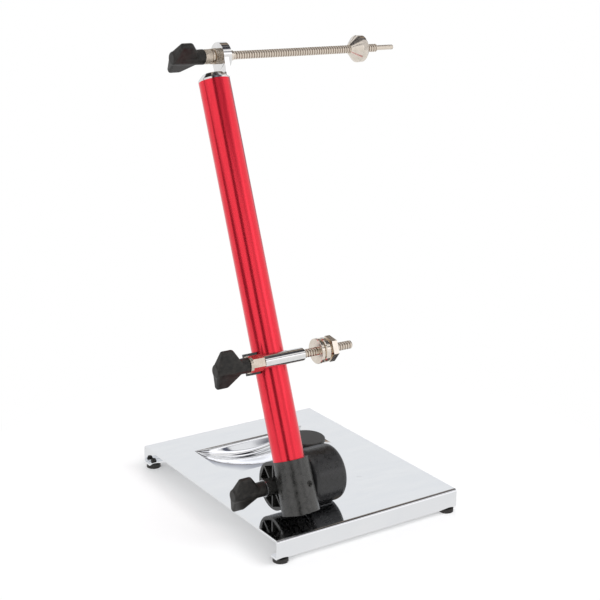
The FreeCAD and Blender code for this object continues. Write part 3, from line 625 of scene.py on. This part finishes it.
def make_camera():
    """The photograph's view: a long lens from the front left, a little above."""
    camera = bpy.data.objects.new("camera", bpy.data.cameras.new("camera"))
    bpy.context.scene.collection.objects.link(camera)
    camera.data.sensor_width = SENSOR_WIDTH
    camera.data.lens = FOCAL_LENGTH
    camera.data.clip_end = 50.0
    look = Vector((math.sin(CAMERA_YAW) * math.cos(CAMERA_PITCH),
                   math.cos(CAMERA_YAW) * math.cos(CAMERA_PITCH), -math.sin(CAMERA_PITCH)))
    camera.matrix_world = (Matrix.Translation(CAMERA_PLACE) @ aim_along(look)
                           @ Matrix.Rotation(CAMERA_ROLL, 4, "Z"))
    bpy.context.scene.camera = camera


def make_floor():
    """Pale paper that turns to plain white away from the stand and keeps its shadow.

    Reflections see it as an even pale grey, so that lit paper doesn't burn out the chrome.
    """
    builder = bmesh.new()
    bmesh.ops.create_grid(builder, x_segments=1, y_segments=1, size=FLOOR_HALF)
    floor = new_piece("floor", to_mesh("floor", builder))
    paper = new_material("floor_paper", Roughness=0.9, Specular_IOR_Level=0.0,
                         Base_Color=(0.93, 0.93, 0.93, 1))
    floor.data.materials.append(paper)
    place = add_node(paper, "ShaderNodeTexCoord")
    reach = add_node(paper, "ShaderNodeVectorMath", operation="LENGTH")
    feed(paper, reach.inputs[0], place.outputs["Object"])
    fade = add_node(paper, "ShaderNodeMapRange")
    for socket, source in (("Value", reach.outputs["Value"]), ("From Min", FADE_FROM),
                           ("From Max", FADE_TO), ("To Min", LEAST_FADE), ("To Max", 1.0)):
        feed(paper, fade.inputs[socket], source)
    path = add_node(paper, "ShaderNodeLightPath")
    reflected = path.outputs["Is Glossy Ray"]
    seen = add_maths(paper, "MULTIPLY", path.outputs["Is Camera Ray"],
                     fade.outputs["Result"])
    share = add_maths(paper, "MAXIMUM", seen, reflected)
    white = add_node(paper, "ShaderNodeEmission", Color=PLAIN_WHITE)
    feed(paper, white.inputs["Strength"],
         add_maths(paper, "MULTIPLY_ADD", reflected, REFLECTED_FLOOR - 1.0, 1.0))
    feed(paper, paper.node_tree.nodes["Material Output"].inputs["Surface"],
         mix_shaders(paper, share, shader_of(paper).outputs[0], white.outputs[0]))


def make_world():
    """White to the camera; walls with dark cards to what is glossy; even light beyond."""
    world = bpy.data.worlds.new("studio")
    bpy.context.scene.world = world
    world.use_nodes = True
    world.node_tree.nodes.clear()
    place = add_node(world, "ShaderNodeTexCoord")
    parts = add_node(world, "ShaderNodeSeparateXYZ")
    feed(world, parts.inputs[0], place.outputs["Generated"])
    height = parts.outputs["Z"]
    angle = add_maths(world, "ARCTAN2", parts.outputs["Y"], parts.outputs["X"])
    turn = add_maths(world, "MULTIPLY_ADD", angle, 1 / (2 * math.pi), 0.5)

    def card(heights, widths):
        return mix_colours(world, "MULTIPLY", 1.0, add_ramp(world, height, heights),
                           add_ramp(world, turn, widths))

    by_height = mix_colours(world, "MIX", add_ramp(world, turn, BEHIND),
                            add_ramp(world, height, HEIGHTS_IN_FRONT),
                            add_ramp(world, height, HEIGHTS_BEHIND))
    walls = mix_colours(world, "MULTIPLY", 1.0, by_height, add_ramp(world, turn, WALLS))
    walls = mix_colours(world, "MIX", card(SKIRT_HEIGHTS, SKIRT_WIDTHS), walls, SKIRT_COLOUR)
    walls = mix_colours(world, "ADD", 1.0, walls, card(CARD_HEIGHTS, CARD_WIDTHS))
    studio = add_node(world, "ShaderNodeBackground")
    feed(world, studio.inputs["Color"], walls)
    even = add_node(world, "ShaderNodeBackground", Color=EVEN_LIGHT)
    white = add_node(world, "ShaderNodeBackground", Color=PLAIN_WHITE)
    path = add_node(world, "ShaderNodeLightPath")
    unseen = mix_shaders(world, path.outputs["Is Glossy Ray"], even.outputs[0],
                         studio.outputs[0])
    out = add_node(world, "ShaderNodeOutputWorld")
    feed(world, out.inputs["Surface"],
         mix_shaders(world, path.outputs["Is Camera Ray"], unseen, white.outputs[0]))


def add_softbox(name, place, aim, size, power):
    lamp = bpy.data.objects.new(name, bpy.data.lights.new(name, "AREA"))
    bpy.context.scene.collection.objects.link(lamp)
    lamp.data.shape = "RECTANGLE"
    lamp.data.size, lamp.data.size_y = size
    lamp.data.energy = power
    place = Vector(place)
    lamp.matrix_world = Matrix.Translation(place) @ aim_along(Vector(aim) - place)
    lamp.visible_glossy = False


def make_lights():
    """Soft boxes that light the matte surfaces; the studio's walls make the reflections."""
    middle = (-0.03, -0.02, 0.2)
    add_softbox("key_softbox", (0.9, -0.9, 1.5), middle, (1.4, 1.4), 15)
    add_softbox("front_softbox", (-0.5, -1.45, 1.05), (-0.05, -0.08, 0.08), (1.4, 0.5), 9)
    add_softbox("left_softbox", (-1.5, -0.35, 0.5), (-0.05, -0.08, 0.1), (0.5, 1.0), 7)
    add_softbox("back_softbox", (0.4, 1.6, 1.3), middle, (1.6, 0.8), 9)


make_camera()
make_floor()
make_world()
make_lights()
make_pieces()
bpy.context.scene.view_settings.view_transform = "Standard"
